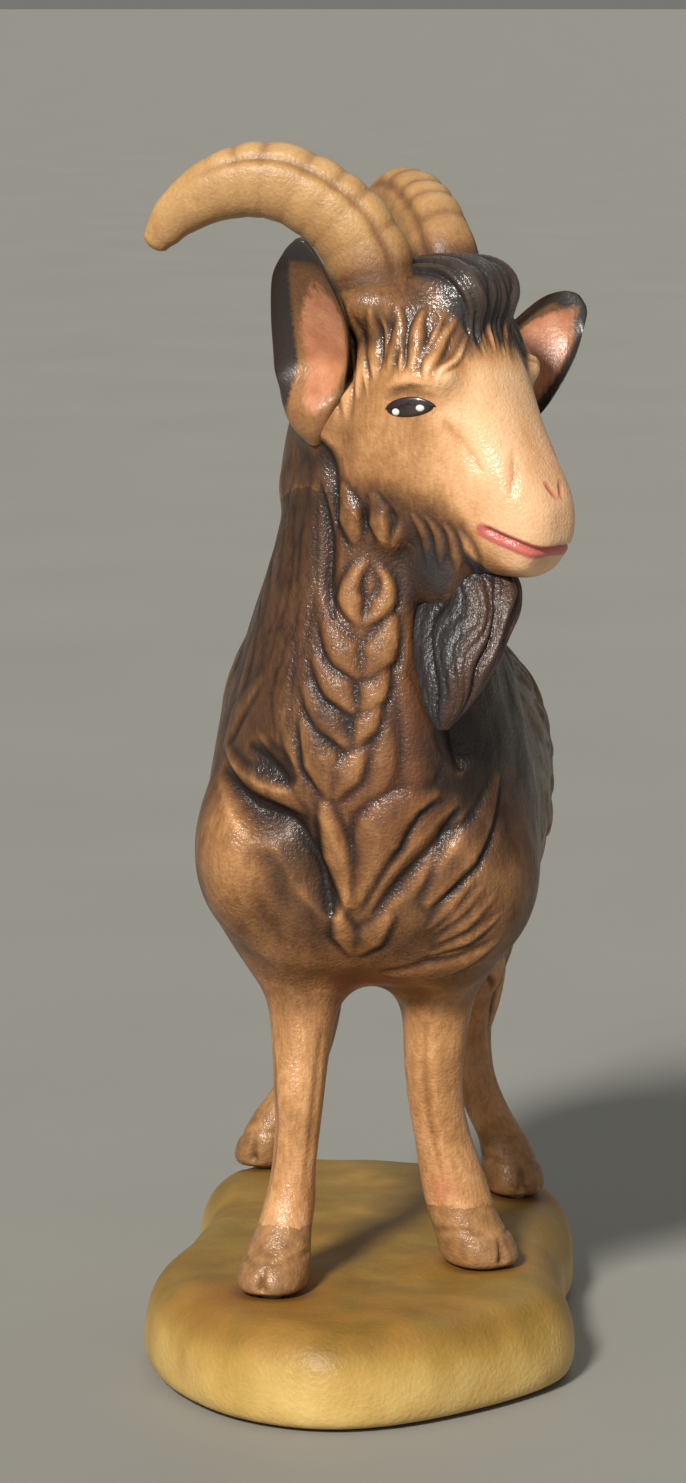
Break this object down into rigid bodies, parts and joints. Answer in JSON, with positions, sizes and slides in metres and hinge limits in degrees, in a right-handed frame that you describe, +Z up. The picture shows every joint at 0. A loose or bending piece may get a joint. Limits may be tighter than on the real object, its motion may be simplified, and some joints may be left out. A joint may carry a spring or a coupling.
{
  "type": "carved goat figurine",
  "caption": "Carved and painted wooden goat with arched horns and a beard, head turned to its left, standing on a rounded plinth",
  "frame": {"origin": "on the plinth's underside, at the middle of the plinth's length and width", "axes": "+Z up, the goat's body faces -Y, its left side is +X"},
  "size_m": [0.0361, 0.065, 0.1008],
  "materials": {
    "plinth_wood": "ochre paint under satin varnish",
    "coat_wood": "dark brown stain under satin varnish",
    "face_wood": "tan and peach paint under satin varnish",
    "beard_wood": "charcoal paint under satin varnish",
    "horn_wood": "light tan paint under satin varnish",
    "ear_wood": "charcoal rim and pink inside, satin varnish",
    "leg_wood": "tan paint with brown hooves, satin varnish",
    "tail_wood": "dark brown stain under satin varnish",
    "dowel_wood": "bare beech"
  },
  "bodies": {
    "root": {"plinth": "plinth_wood", "torso": "coat_wood", "head": "face_wood", "beard": "beard_wood", "horn_right": "horn_wood", "horn_left": "horn_wood", "ear_right": "ear_wood", "ear_left": "ear_wood", "leg_front_right": "leg_wood", "leg_front_left": "leg_wood", "leg_rear_right": "leg_wood", "leg_rear_left": "leg_wood", "tail": "tail_wood", "neck_dowel": "dowel_wood", "hoof_pegs": "dowel_wood"}
  },
  "joints": []
}
